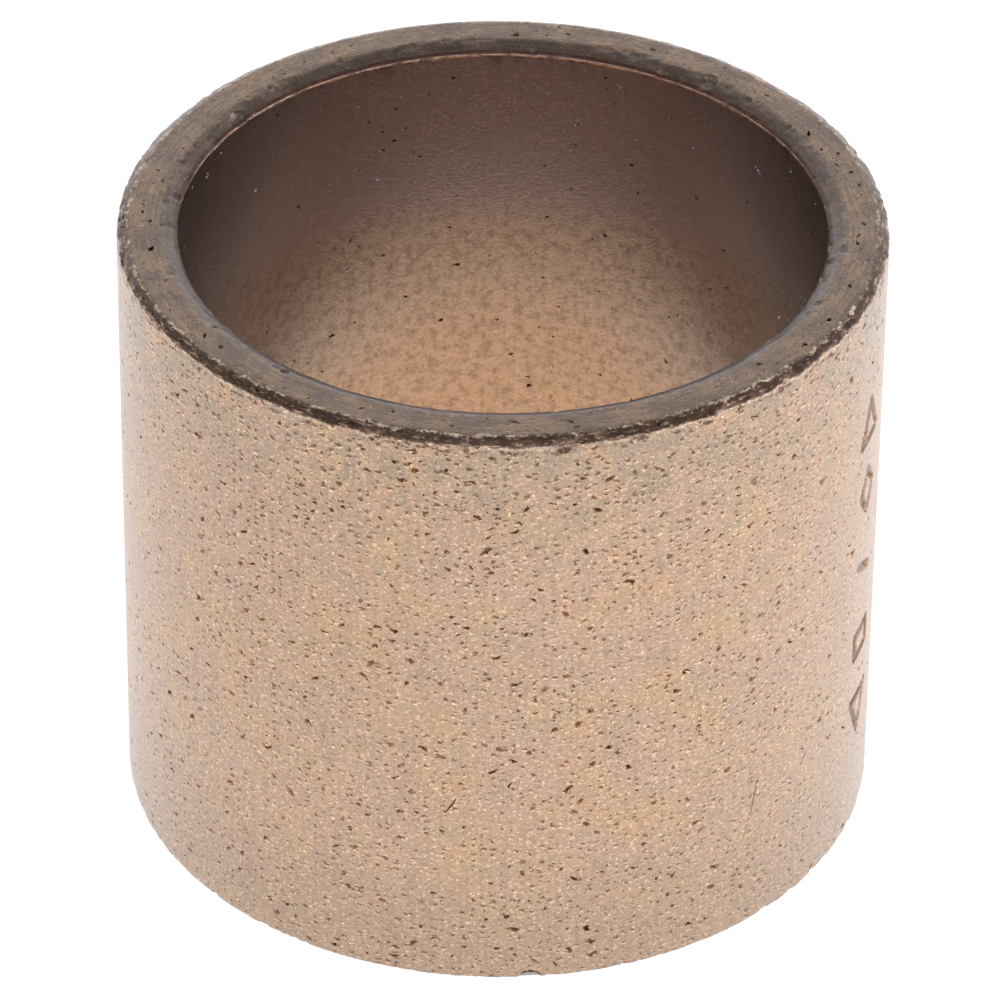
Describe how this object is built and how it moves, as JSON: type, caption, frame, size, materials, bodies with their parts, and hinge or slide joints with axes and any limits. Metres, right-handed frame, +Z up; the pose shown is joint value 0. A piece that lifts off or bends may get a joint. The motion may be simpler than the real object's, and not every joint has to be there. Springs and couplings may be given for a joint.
{
  "type": "sleeve bush",
  "caption": "Plain sleeve bush of porous oil-filled bronze that a shaft turns in, pressed into a round housing bore.",
  "frame": {"origin": "centre of the lower end face, on the bore axis", "axes": "+Z up along the bore axis, from the lower end face to the upper one; the ring is round, so X and Y are free"},
  "size_m": [0.019, 0.019, 0.0164],
  "materials": {
    "sintered_bronze": "porous sintered bronze, sized in a die and soaked in oil, satin with fine open pores"
  },
  "bodies": {
    "root": {"sleeve": "sintered_bronze"}
  },
  "joints": []
}
